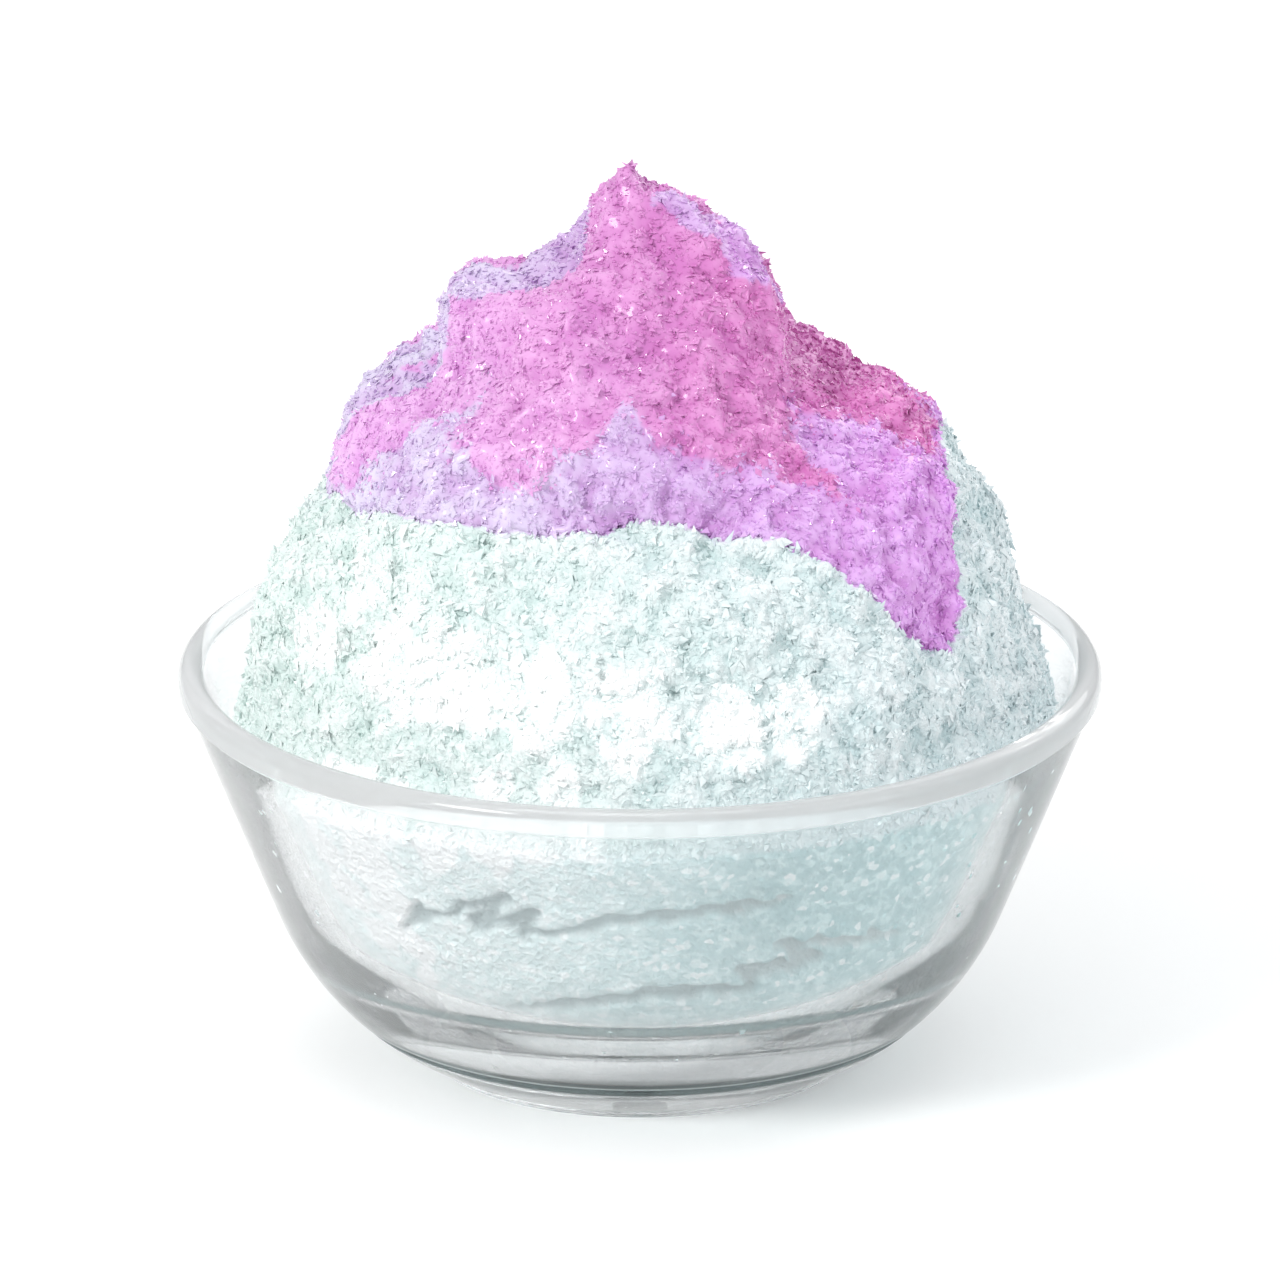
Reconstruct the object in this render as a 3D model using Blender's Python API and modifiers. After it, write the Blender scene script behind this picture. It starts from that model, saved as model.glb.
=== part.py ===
"""Shaved ice with pink syrup, heaped in a clear pressed-glass dessert bowl.

Three solids, all on the bowl's axis, with the origin under the middle of the bowl's foot and +Z up:
the turned bowl, the white heap of ice that fills it, and the layer of ice that the syrup has soaked,
which lies in a recess of the heap and runs down it in tongues. Lengths are in metres.
"""

import functools
import math

import bmesh
import bpy
from mathutils import Vector, noise

MM = 0.001

# The bowl: a straight leaning wall over a round belly, with a beaded lip and a foot line.
BOWL_HEIGHT = 62 * MM
LIP_RADIUS = 70 * MM
LIP_THICKNESS = 4.2 * MM
BEAD_RADIUS = LIP_THICKNESS / 2
LIP_DEPTH = 3.4 * MM
LIP_OVERHANG = 0.9 * MM
OUTER_LEAN = math.radians(21.8)
OUTER_BELLY_CENTRE = (16.2 * MM, 40.0 * MM)
OUTER_BELLY_RADIUS = 42.5 * MM
FOOT_LINE_HEIGHT = 8.6 * MM
FOOT_LINE_DEPTH = 0.8 * MM
FOOT_LINE_HALF_ANGLE = math.radians(1.5)
FOOT_ROUNDING = 1.2 * MM
KICK_RADIUS = 22 * MM
KICK_SHOULDER_RADIUS = 17.6 * MM
KICK_SHOULDER_HEIGHT = 0.9 * MM
KICK_HEIGHT = 1.5 * MM
INNER_LEAN = math.radians(25)
INNER_BELLY_RADIUS = 36 * MM
FLOOR_THICKNESS = 9.0 * MM
BOWL_STEPS = 64
MERGE_DISTANCE = 0.01 * MM

# The heap: its outline on four sides, from just above the wall up to the peak, as (radius, height above
# the rim) in millimetres. The points are about 10 mm apart, and each side has its own ledges.
RIGHT_OUTLINE = ((61.4, -1.5), (57.4, 10.0), (52.9, 21.0), (49.0, 30.5), (44.5, 38.0), (35.0, 43.0),
                 (26.2, 46.5), (23.4, 55.0), (20.6, 64.0), (11.0, 72.5), (0, 78.4))
BACK_OUTLINE = ((60.0, -1.0), (56.6, 8.5), (51.8, 18.0), (47.0, 27.0), (41.2, 35.0), (36.6, 43.5),
                (32.2, 52.0), (23.0, 56.0), (15.2, 63.0), (7.6, 71.0), (0, 78.4))
LEFT_OUTLINE = ((59.4, -2.5), (56.3, 8.5), (52.0, 18.0), (45.4, 27.0), (43.0, 36.0), (38.8, 43.8),
                (29.4, 48.5), (27.0, 60.8), (15.5, 64.3), (5.0, 70.5), (0, 78.4))
FRONT_OUTLINE = ((60.0, -1.0), (56.4, 8.5), (52.4, 18.0), (46.0, 26.0), (38.6, 32.5), (34.4, 41.5),
                 (28.4, 49.0), (20.6, 54.5), (14.2, 62.0), (6.2, 70.5), (0, 78.4))
OUTLINES = (RIGHT_OUTLINE, BACK_OUTLINE, LEFT_OUTLINE, FRONT_OUTLINE)
CONTACT_HEIGHTS = (-7.0, -9.0, -10.0, -8.5)
PEAK_HEIGHT = RIGHT_OUTLINE[-1][1]
PEAK_POINT = len(RIGHT_OUTLINE)
PEAK_SHIFT = -1.8 * MM
HEART = Vector((0, 0, BOWL_HEIGHT + 8 * MM))
BOWL_GAP = 0.4 * MM

# The relief of the heap: broad lumps, then crags a few millimetres across.
LUMP_SIZE = 19 * MM
LUMP_HEIGHT = 3.4 * MM
CRAG_SIZE = 7.0 * MM
CRAG_HEIGHT = 3.6 * MM
CRAG_SEED = Vector((3.7, 9.2, 1.4))
RIDGE_SHARE = 0.3
BUMP_SIZE = 4.5 * MM
BUMP_SHARE = 0.25
CALM_HEIGHT = BOWL_HEIGHT + 1 * MM
ROUGH_HEIGHT = BOWL_HEIGHT + 8 * MM

# The syrup: the height above the rim of its lower edge, by azimuth in degrees. Azimuth 0 is +X, and
# 270 faces the front.
SYRUP_EDGE = ((0, 36), (24, 33), (45, 24), (62, 27), (84, 35), (105, 33), (124, 21), (140, 25),
              (160, 31), (180, 27.5), (200, 29), (218, 32), (236, 31.5), (255, 33), (272, 34), (288, 32.5),
              (301, 31), (310, 25), (317, 16.5), (325, 11.5), (331, 15), (337, 28), (346, 34))
SOAKED_DEPTH = 4.2 * MM
SYRUP_GAP = 0.45 * MM
SYRUP_EDGE_GAP = 0.9 * MM
SYRUP_EDGE_RADIUS = 49 * MM

# How finely the heap is drawn.
SYRUP_RINGS = 20
HIDDEN_RINGS = SYRUP_RINGS // 2
FLANK_RINGS = 12
BURIED_RINGS = 5
SEGMENTS = 6 * SYRUP_RINGS
HALVINGS = 16


def clear_scene():
    for obj in list(bpy.data.objects):
        bpy.data.objects.remove(obj)


def material(name, colour, roughness, transmission=0.0):
    made = bpy.data.materials.new(name)
    made.use_nodes = True
    shader = made.node_tree.nodes["Principled BSDF"]
    shader.inputs["Base Color"].default_value = (*colour, 1)
    shader.inputs["Roughness"].default_value = roughness
    shader.inputs["Metallic"].default_value = 0
    shader.inputs["Transmission Weight"].default_value = transmission
    return made


def smooth_step(low, high, value):
    share = min(1, max(0, (value - low) / (high - low)))
    return share * share * (3 - 2 * share)


def arc(centre, radius, start, end, count):
    """Points of a circle's arc; an angle is measured downwards from the outward direction."""
    angles = [start + (end - start) * i / (count - 1) for i in range(count)]
    return [(centre[0] + radius * math.cos(a), centre[1] - radius * math.sin(a)) for a in angles]


def tangent_point(centre, radius, lean):
    return centre[0] + radius * math.cos(lean), centre[1] - radius * math.sin(lean)


def inner_belly_centre():
    """The inner belly meets the floor level and the leaning inner wall without a corner."""
    height = FLOOR_THICKNESS + INNER_BELLY_RADIUS
    wall_foot = height - INNER_BELLY_RADIUS * math.sin(INNER_LEAN)
    return inner_wall_radius(wall_foot) - INNER_BELLY_RADIUS * math.cos(INNER_LEAN), height


def inner_wall_radius(height):
    """The radius of the bowl's straight inner wall, which runs into the lip's bead without a corner."""
    at_bead_centre = LIP_RADIUS - BEAD_RADIUS - BEAD_RADIUS / math.cos(INNER_LEAN)
    return at_bead_centre + (height - BOWL_HEIGHT + BEAD_RADIUS) * math.tan(INNER_LEAN)


def outer_profile():
    """The outside, from the lip's crown down to the foot."""
    lip = arc((LIP_RADIUS - BEAD_RADIUS, BOWL_HEIGHT - BEAD_RADIUS), BEAD_RADIUS, -math.pi / 2, 0, 4)
    lip.append((LIP_RADIUS, BOWL_HEIGHT - LIP_DEPTH))
    wall_foot = tangent_point(OUTER_BELLY_CENTRE, OUTER_BELLY_RADIUS, OUTER_LEAN)
    neck = BOWL_HEIGHT - LIP_DEPTH - LIP_OVERHANG
    lip.append((wall_foot[0] + (neck - wall_foot[1]) * math.tan(OUTER_LEAN), neck))
    line = math.asin((OUTER_BELLY_CENTRE[1] - FOOT_LINE_HEIGHT) / OUTER_BELLY_RADIUS)
    foot = math.asin((OUTER_BELLY_CENTRE[1] - FOOT_ROUNDING) / OUTER_BELLY_RADIUS)
    belly = arc(OUTER_BELLY_CENTRE, OUTER_BELLY_RADIUS, OUTER_LEAN, line - FOOT_LINE_HALF_ANGLE, 7)
    groove = tangent_point(OUTER_BELLY_CENTRE, OUTER_BELLY_RADIUS - FOOT_LINE_DEPTH, line)
    base = arc(OUTER_BELLY_CENTRE, OUTER_BELLY_RADIUS, line + FOOT_LINE_HALF_ANGLE, foot, 4)
    rest = (base[-1][0] - FOOT_ROUNDING, 0)
    return lip + belly + [groove] + base + [rest]


def underside_profile():
    """A shallow kick, so that the bowl stands on a flat ring."""
    return [(KICK_RADIUS, 0), (KICK_SHOULDER_RADIUS, KICK_SHOULDER_HEIGHT), (0, KICK_HEIGHT)]


def inner_profile():
    """The inside, from the middle of the floor up to the lip's crown."""
    centre = inner_belly_centre()
    belly = arc(centre, INNER_BELLY_RADIUS, math.pi / 2, INNER_LEAN, 7)
    bead_centre = (LIP_RADIUS - BEAD_RADIUS, BOWL_HEIGHT - BEAD_RADIUS)
    lip = arc(bead_centre, BEAD_RADIUS, -math.pi + INNER_LEAN, -math.pi / 2, 4)
    return [(0, FLOOR_THICKNESS)] + belly + lip


def turned(name, profile, steps):
    """A profile in the XZ plane, turned about Z. It runs down the outside and up the inside."""
    mesh = bpy.data.meshes.new(name)
    points = [(radius, 0, height) for radius, height in profile]
    edges = [(i, i + 1) for i in range(len(points) - 1)]
    mesh.from_pydata(points, edges, [])
    obj = bpy.data.objects.new(name, mesh)
    screw = obj.modifiers.new("Turn", "SCREW")
    screw.steps = screw.render_steps = steps
    screw.use_merge_vertices = True
    screw.merge_threshold = MERGE_DISTANCE
    screw.use_smooth_shade = True
    return obj


def glass_bowl():
    """One closed profile, whose inside ends where its outside begins, on the lip's crown."""
    profile = outer_profile() + underside_profile() + inner_profile()
    return turned("glass_bowl", profile, BOWL_STEPS)


def wall_contact(rise):
    """Where the heap leaves the wall, at a height above the rim in millimetres."""
    return inner_wall_radius(BOWL_HEIGHT + rise * MM) / MM - BOWL_GAP / MM / math.cos(INNER_LEAN), rise


@functools.cache
def whole_outlines():
    return [(wall_contact(rise), *outline) for rise, outline in zip(CONTACT_HEIGHTS, OUTLINES)]


def outline_point(outline, along):
    """A point of an outline's smooth curve; along counts its points from the contact up."""
    last = len(outline) - 1
    start = min(int(along), last - 1)
    share = along - start
    before, here, there, after = (Vector(outline[min(last, max(0, start + i))]) for i in (-1, 0, 1, 2))
    rise = (there - before) / 2
    leave = (after - here) / 2
    square, cube = share * share, share ** 3
    return (here * (2 * cube - 3 * square + 1) + rise * (cube - 2 * square + share)
            + there * (3 * square - 2 * cube) + leave * (cube - square))


def heap_outline(azimuth, along):
    """(radius, height above the rim) of the smooth heap, in millimetres, on any side."""
    weights = [max(0, math.cos(azimuth - math.pi / 2 * i)) ** 2 for i in range(len(OUTLINES))]
    points = [outline_point(outline, along) * w for outline, w in zip(whole_outlines(), weights) if w > 0]
    return sum(points, Vector((0, 0)))


def smooth_heap_point(azimuth, along):
    radius, rise = heap_outline(azimuth, along) * MM
    shift = PEAK_SHIFT * smooth_step(0, PEAK_HEIGHT * MM, rise)
    return Vector((shift + radius * math.cos(azimuth), radius * math.sin(azimuth), BOWL_HEIGHT + rise))


def from_heart(point, distance):
    """The point moved away from a point on the axis inside the heap."""
    return point + (point - HEART).normalized() * distance


def roughness(point):
    """None where the heap meets the wall, and full a little above the rim."""
    return smooth_step(CALM_HEIGHT, ROUGH_HEIGHT, point.z)


def lumpy_heap_point(azimuth, along):
    point = smooth_heap_point(azimuth, along)
    return from_heart(point, LUMP_HEIGHT * noise.noise(point / LUMP_SIZE) * roughness(point))


def crag(point):
    """How far the surface stands out in a network of ridges, with finer bumps on them."""
    ridge = RIDGE_SHARE - abs(noise.noise(point / CRAG_SIZE + CRAG_SEED))
    bump = BUMP_SHARE * noise.noise(point / BUMP_SIZE)
    return CRAG_HEIGHT * (ridge + bump) * roughness(point)


def heap_surface(azimuth, along):
    point = lumpy_heap_point(azimuth, along)
    return from_heart(point, crag(point))


def soaked_floor(azimuth, along, gap):
    """The smoother surface down to which the syrup has soaked; the gap lifts it."""
    return from_heart(lumpy_heap_point(azimuth, along), gap - SOAKED_DEPTH)


def syrup_edge_height(azimuth):
    """The height above the rim of the syrup's lower edge, in millimetres."""
    degrees = math.degrees(azimuth) % 360
    ends = SYRUP_EDGE + ((SYRUP_EDGE[0][0] + 360, SYRUP_EDGE[0][1]),)
    for (start, low), (end, high) in zip(ends, ends[1:]):
        if start <= degrees <= end:
            return low + (high - low) * smooth_step(start, end, degrees)
    return ends[0][1]


def along_at(azimuth, height):
    """Where on its outline the heap reaches a height above the rim, by halving."""
    low, high = 0, PEAK_POINT
    for _ in range(HALVINGS):
        middle = (low + high) / 2
        if heap_outline(azimuth, middle)[1] < height:
            low = middle
        else:
            high = middle
    return low


@functools.cache
def syrup_edge_along(azimuth, gap):
    """Where the syrup ends on its outline. A gap moves the edge down and sideways, into white ice."""
    sideways = gap / SYRUP_EDGE_RADIUS
    height = min(syrup_edge_height(azimuth + turn) for turn in (-sideways, 0, sideways))
    return along_at(azimuth, height - gap / MM)


def ring(count, place):
    """Points all round the axis."""
    return [place(2 * math.pi * i / count) for i in range(count)]


def cap_rings(surface, gap, count):
    """Rings from the peak to the syrup's edge, each with six points more than the last.

    A gap widens only the last ring, so that the points of the recess lie under those of the layer."""
    def place(azimuth, share):
        edge = syrup_edge_along(azimuth, gap if share == 1 else 0)
        return surface(azimuth, PEAK_POINT + (edge - PEAK_POINT) * share)

    rings = [[place(0, 0)]]
    for i in range(1, count + 1):
        rings.append(ring(6 * i, lambda azimuth, share=i / count: place(azimuth, share)))
    return rings


def add_vertices(mesh, rings):
    return [[mesh.verts.new(point) for point in points] for points in rings]


def join_cap(mesh, rings):
    """Fills between rings of 6, 12, 18 and so on points with even triangles, from the first point out."""
    for i in range(1, len(rings)):
        inner, outer = rings[i - 1], rings[i]
        for side in range(6):
            for step in range(i):
                a = outer[(side * i + step) % len(outer)]
                b = outer[(side * i + step + 1) % len(outer)]
                c = inner[(side * (i - 1) + step) % len(inner)]
                mesh.faces.new((a, b, c))
                if step < i - 1:
                    d = inner[(side * (i - 1) + step + 1) % len(inner)]
                    mesh.faces.new((c, b, d))


def join_rings(mesh, upper, lower):
    for i, here in enumerate(upper):
        after = (i + 1) % len(upper)
        mesh.faces.new((here, lower[i], lower[after], upper[after]))


def join_fine_to_coarse(mesh, fine, coarse):
    """Joins a ring to one with half as many points."""
    for i, here in enumerate(coarse):
        after = coarse[(i + 1) % len(coarse)]
        first, middle, last = (fine[(2 * i + j) % len(fine)] for j in range(3))
        mesh.faces.new((here, first, middle))
        mesh.faces.new((here, middle, after))
        mesh.faces.new((after, middle, last))


def mesh_object(name, mesh):
    bmesh.ops.recalc_face_normals(mesh, faces=mesh.faces)
    data = bpy.data.meshes.new(name)
    mesh.to_mesh(data)
    mesh.free()
    return bpy.data.objects.new(name, data)


def syrup_soaked_ice():
    """The pink cap of the heap: craggy outside, smooth inside, with a square edge."""
    mesh = bmesh.new()
    outside = add_vertices(mesh, cap_rings(heap_surface, 0, SYRUP_RINGS))
    inside = add_vertices(mesh, cap_rings(lambda azimuth, along: soaked_floor(azimuth, along, SYRUP_GAP),
                                          0, HIDDEN_RINGS))
    join_cap(mesh, outside)
    join_cap(mesh, inside)
    join_fine_to_coarse(mesh, outside[-1], inside[-1])
    return mesh_object("syrup_soaked_ice", mesh)


def flank_rings():
    """Rings of the bare white heap, from the syrup's edge down to the contact with the wall."""
    def place(azimuth, share):
        return heap_surface(azimuth, syrup_edge_along(azimuth, SYRUP_EDGE_GAP) * (1 - share))

    shares = [i / FLANK_RINGS for i in range(FLANK_RINGS + 1)]
    return [ring(SEGMENTS, lambda azimuth, share=share: place(azimuth, share)) for share in shares]


def buried_rings():
    """Rings of the ice that lies against the inside of the bowl, from below the contact to the floor."""
    centre = inner_belly_centre()
    radius = INNER_BELLY_RADIUS - BOWL_GAP
    profile = arc(centre, radius, INNER_LEAN, math.pi / 2, BURIED_RINGS)
    return [ring(SEGMENTS, lambda azimuth, r=r, z=z: Vector((r * math.cos(azimuth), r * math.sin(azimuth), z)))
            for r, z in profile]


def shaved_ice():
    """The white heap, with the recess that the syrup-soaked layer fills."""
    mesh = bmesh.new()
    recess = add_vertices(mesh, cap_rings(lambda azimuth, along: soaked_floor(azimuth, along, 0),
                                          SYRUP_EDGE_GAP, HIDDEN_RINGS))
    join_cap(mesh, recess)
    sides = add_vertices(mesh, flank_rings() + buried_rings())
    join_fine_to_coarse(mesh, sides[0], recess[-1])
    for upper, lower in zip(sides, sides[1:]):
        join_rings(mesh, upper, lower)
    mesh.faces.new(sides[-1])
    return mesh_object("shaved_ice", mesh)


def main():
    clear_scene()
    dessert = bpy.data.collections.new("shaved_ice_dessert")
    bpy.context.scene.collection.children.link(dessert)
    looks = (
        (glass_bowl(), material("clear_glass", (0.93, 0.97, 0.97), 0.03, 1.0)),
        (shaved_ice(), material("white_ice", (0.86, 0.93, 0.93), 0.45)),
        (syrup_soaked_ice(), material("pink_ice", (0.82, 0.42, 0.72), 0.4)),
    )
    for obj, look in looks:
        obj.data.materials.append(look)
        dessert.objects.link(obj)
        obj.data.shade_smooth()


main()
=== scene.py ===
"""The looks of a shaved ice dessert: a clear glass bowl, a craggy heap of ice flakes, and pink syrup.

The heap's form is read from the frame, as its distance from a point inside it in every direction. Finer
relief and thousands of separate flakes and grains of ice are laid over that form.
"""

import math

import bpy
import numpy as np
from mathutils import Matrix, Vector, noise
from mathutils.bvhtree import BVHTree


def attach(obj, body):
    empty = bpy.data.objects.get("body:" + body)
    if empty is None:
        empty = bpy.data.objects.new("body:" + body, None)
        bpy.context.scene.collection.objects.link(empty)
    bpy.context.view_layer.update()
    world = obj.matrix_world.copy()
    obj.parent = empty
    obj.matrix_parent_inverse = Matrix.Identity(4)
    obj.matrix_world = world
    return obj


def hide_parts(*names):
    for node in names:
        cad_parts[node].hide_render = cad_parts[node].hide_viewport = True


MM = 0.001
SEED = 20

# The view: the picture is 194 mm wide at the bowl, seen from well away, 19 degrees above the horizon.
VIEW_ELEVATION = math.radians(19)
VIEW_DISTANCE = 1.9
VIEW_WIDTH = 193.8 * MM
VIEW_AIM = Vector((0, 0, 64.9 * MM))

# The bowl's profile, as in the frame, drawn more finely.
BOWL_HEIGHT = 62 * MM
LIP_RADIUS = 70 * MM
BEAD_RADIUS = 2.1 * MM
LIP_DEPTH = 3.4 * MM
LIP_OVERHANG = 0.9 * MM
OVERHANG_ROUNDING = 0.5 * MM
OUTER_LEAN = math.radians(21.8)
OUTER_BELLY_CENTRE = (16.2 * MM, 40.0 * MM)
OUTER_BELLY_RADIUS = 42.5 * MM
FOOT_LINE_HEIGHT = 8.6 * MM
FOOT_LINE_DEPTH = 0.8 * MM
FOOT_LINE_HALF_ANGLE = math.radians(1.5)
FOOT_ROUNDING = 1.2 * MM
KICK_RADIUS = 22 * MM
KICK_HEIGHT = 1.5 * MM
INNER_LEAN = math.radians(25)
INNER_BELLY_RADIUS = 36 * MM
FLOOR_THICKNESS = 9.0 * MM
BOWL_STEPS = 192

# The heap is measured from its heart, on a grid of directions this many degrees apart.
HEART = Vector((0, 0, BOWL_HEIGHT + 8 * MM))
GRID_STEP = 0.5
CAST_FROM = 0.3
CLOSING_CELLS = 3
SMOOTHING_CELLS = 2
SYRUP_BLUR_CELLS = (5, 4)
OPEN_AIR = 0.2

# Ice this near to the bowl's wall is packed against it, and ice this far off is free.
CONTACT_NEAR = 0.7 * MM
CONTACT_FAR = 1.8 * MM

# Packed ice touches the glass in peaks. In millimetres: their spacing, width and height, the gap between
# them, how deep a crevice is, and how far its edge fades to each side.
PEAK_SPACING = 3.6
PEAK_WIDTH = 1.1
PEAK_HEIGHT = 0.5
PACKED_GAP = 0.38
CREVICE_DEPTH = 0.9
CREVICE_FADE = 0.5

# The heap's own relief fades in between these heights, from the rim.
RELIEF_FADE = (-7 * MM, 4 * MM)
# Ice counts as a hollow, painted darker as shade, from the first of these heights of relief down to the
# second, in millimetres.
HOLLOW_SHADE_RANGE = (0.9, -1.1)

# How ice and the melted film on it bend light, and how rough that film is.
ICE_INDEX = 1.31
FILM_INDEX = 1.4
FILM_ROUGHNESS = 0.1
# The grain of packed ice: its sizes in millimetres, and how strongly it disturbs the surface.
PACKED_GRAINS = (1.1, 0.5)
PACKED_GRAIN_STRENGTH = 0.7
MOTTLE_SCALE = 330.0
CRYSTAL_SCALE = 900.0

# The glass bends light less than real glass and lets a little straight through. Otherwise its edges go
# black, because light that is caught in the wall is given up after a number of turns.
GLASS_INDEX = 1.35
GLASS_OPACITY = 0.9
# The lip is a little milky.
LIP_CLEARNESS = 0.6
# Painted shadow: a darker band of glass runs round a little above the foot line, for the shade in its
# groove: how far above it, and half its width.
FOOT_SHADE_RISE = 0.6 * MM
FOOT_SHADE_HALF_WIDTH = 1.2 * MM
FOOT_SHADE_FADE_END = 2.0 * MM

# The floor glows faintly, as a light table does, which keeps the glass and its shadow light.
FLOOR_GREY = (0.9, 0.9, 0.9, 1)
FLOOR_GLOW = 0.12
# The sky's colours, by how far up one looks: 0 at eye level, and 1 straight up.
SKY_STOPS = ((0.0, (0.48, 0.49, 0.5, 1)), (0.15, (0.68, 0.69, 0.7, 1)),
             (0.45, (0.93, 0.94, 0.95, 1)), (1.0, (1, 1, 1, 1)))
SKY_STRENGTH = 0.86
# Each lamp's name, place, width in metres, power in watts and colour.
LAMPS = (("key", (-0.9, -0.8, 1.2), 0.5, 13.5, (1, 0.995, 0.985)),
         ("fill", (1.2, -0.9, 0.9), 0.9, 5, (0.97, 0.98, 1)),
         ("back", (0.8, 1.2, 1.1), 1.2, 7, (0.98, 0.99, 1)))

# How finely the ice is drawn: rows over the heap, behind the bowl's wall, and over its floor.
CAP_RINGS = 120
CAP_POLAR = math.radians(107)
WALL_ROWS = 60
WALL_POLAR = math.radians(147)
FLOOR_ROWS = 15
FLOOR_POLAR = math.radians(177)

# The loose ice: plates and grains, as shares of their length, then lengths in millimetres and counts.
FLAKE_AXES = (1, 0.5, 0.14)
FLAKE_LENGTHS = (0.7, 3.0)
FLAKE_COUNT = 16000
FLAKE_TILT = 0.45
FLAKE_SINK = -0.02
GRAIN_AXES = (1, 0.8, 0.7)
GRAIN_LENGTHS = (0.5, 1.9)
GRAIN_COUNT = 24000
GRAIN_TILT = 0.9
GRAIN_SINK = 0.1
CRYSTAL_FORMS = 60
# Pink crystals are fewer and finer, as shares of the white ones.
PINK_AMOUNT = 0.9
PINK_FINENESS = 0.75
# A crystal's colour is that of ice about this far off: in syrup share, and in millimetres of height.
STRAY_EDGE = 0.05
STRAY_ABOVE = 1.6

# The syrup: it begins at this share, fades in over a short overlap, and is a layer with its edge sunk in.
SYRUP_EDGE = 0.5
SYRUP_OVERLAP = 0.07
SYRUP_LAYER = 2.4 * MM
SYRUP_DIVE = 1.1 * MM
WHITE_DIVE = 1.3 * MM
# The deep pink turns lilac over twice this height, in millimetres.
PINK_FADE = 1.2

# A spot on the heap covers fully out to a quarter of its radius, and fades away at this many radii.
SPOT_END = 1.25
# A thin spot starts at this much cover. From there on, the cover times the pull, in millimetres, is
# taken off a point's height above the pink's end, and that height is held within the limit.
THIN_SPOT_START = 0.3
THIN_SPOT_PULL = 90
PINK_END_LIMIT = 9
# Ice turns white between these covers by a spot: fresh ice, and in places a painted highlight and a
# painted reflection.
FRESH_AND_HIGHLIGHT_EDGE = (0.42, 0.6)

# Where the deep pink ends and only thin syrup goes on down: azimuth in degrees, height above the rim.
PINK_END = ((0, 38), (20, 36), (45, 30), (62, 37), (84, 41), (105, 43), (124, 30), (140, 31), (160, 38),
            (180, 31), (195, 31), (207, 37), (211, 46), (217, 48), (222, 42), (236, 39), (252, 41),
            (263, 47), (268, 50), (274, 46), (290, 42), (307, 38), (314, 37), (320, 44), (330, 46),
            (338, 41), (350, 36))
# Patches of thin syrup above that: azimuth, height and radius in millimetres.
THIN_SPOTS = ((178, 66, 6), (166, 67, 8), (150, 67, 8), (136, 65, 7), (190, 67, 4.5), (184, 62, 6.5),
              (170, 60, 7), (182, 56, 5.5), (168, 53, 8), (184, 50, 5.5), (183, 45, 6), (168, 46, 7),
              (181, 40, 5.5), (172, 40, 5), (345, 72, 6.5), (352, 66, 6.5), (340, 65, 4.5), (357, 60, 5),
              (8, 66, 6), (60, 55, 6), (104, 58, 5))

# White, airier ice, the same way, on the heap and behind the glass. The spots on the heap's front are
# partly painted highlights, and those behind the glass at the front left, from azimuth 220 to 263, make a
# painted reflection.
FRESH_AND_HIGHLIGHT_SPOTS = ((208, 12, 8), (216, 20, 6), (227, 12, 10), (240, 13, 10), (254, 11, 10), (268, 9, 9),
               (282, 8, 8), (294, 9, 6), (249, 0, 4), (259, 0, 4), (20, 6, 10), (60, 10, 12), (78, 6, 9),
               (112, 12, 12), (130, 8, 9), (160, 12, 9),
               (234, -8, 5), (241, -9, 6), (249, -9, 6), (256, -8, 5), (263, -7, 4), (220, -7, 6),
               (227, -8, 6), (220, -15, 5), (228, -15, 6), (222, -22, 4.5), (230, -22, 5), (226, -29, 4),
               (232, -29, 4), (232, -36, 3.5), (235, -42, 3), (30, -8, 6), (40, -9, 7), (84, -9, 7),
               (95, -8, 6), (104, -16, 5), (150, -9, 7))

# Bumps and dents in the heap, the same way, and the millimetres that each stands out or, below 0, in.
DENTS = ((178, 65, 8, -3.4), (196, 65, 6, -2.4), (160, 65, 7, -2.6), (184, 46, 4.5, -2.4),
         (168, 49, 6, -2.4), (172, 69, 4, 1.2), (181, 23.5, 4.5, 1.2), (180, 26, 4, -0.8),
         (350, 41, 5, -1.0), (352, 51, 4, -1.8), (12, 51, 5, -1.8), (345, 77, 3.5, -1.2),
         (20, 76, 4, -1.5), (0, 79, 5, 0.6))

# A crevice in the packed ice behind the glass is a zigzag: how far along, how many millimetres up,
# and half its width in millimetres.
ZIGZAG = ((0, -0.5, 0.5), (0.083, 3.6, 0.6), (0.06, 1.3, 0.9), (0.31, 5.8, 0.9), (0.225, 0.8, 1.1),
          (0.38, 2.1, 1.3), (0.36, -1.6, 0.7), (0.56, 1.0, 1.0), (0.87, 0.5, 0.8), (1, 0.3, 0.4))
# Each one's two ends, as azimuth in degrees and height above the rim in millimetres.
CREVICES = (((231, -26), (292, -18)), ((314, -29), (243, -40)), ((5, -19), (62, -24)),
            ((80, -35), (20, -38)), ((75, -15), (128, -21)), ((165, -31), (105, -36)),
            ((140, -17), (196, -23)))


def rgb(red, green, blue):
    """A colour as it looks on screen, 0 to 255, as the linear values that shaders use."""
    return [((c / 255 + 0.055) / 1.055) ** 2.4 if c > 10 else c / 3300 for c in (red, green, blue)] + [1]


def smooth_step(low, high, value):
    """From 0 at the first value to 1 at the second, which may be the smaller, without a corner."""
    share = np.clip((value - low) / (high - low), 0, 1)
    return share * share * (3 - 2 * share)


# The heap's form


def joined_tree(nodes):
    """One search tree over several nodes, and the number of the node that each of its faces is from."""
    points, faces, owners = [], [], []
    for owner, node in enumerate(nodes):
        first = len(points)
        points += [vertex.co.copy() for vertex in node.data.vertices]
        node.data.calc_loop_triangles()
        for triangle in node.data.loop_triangles:
            faces.append([first + i for i in triangle.vertices])
            owners.append(owner)
    return BVHTree.FromPolygons(points, faces), owners


def directions(azimuth, polar):
    """Unit vectors, as rows; the polar angle is measured from straight up."""
    flat = np.sin(polar)
    return np.stack((flat * np.cos(azimuth), flat * np.sin(azimuth), np.cos(polar)), axis=-1)


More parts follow.
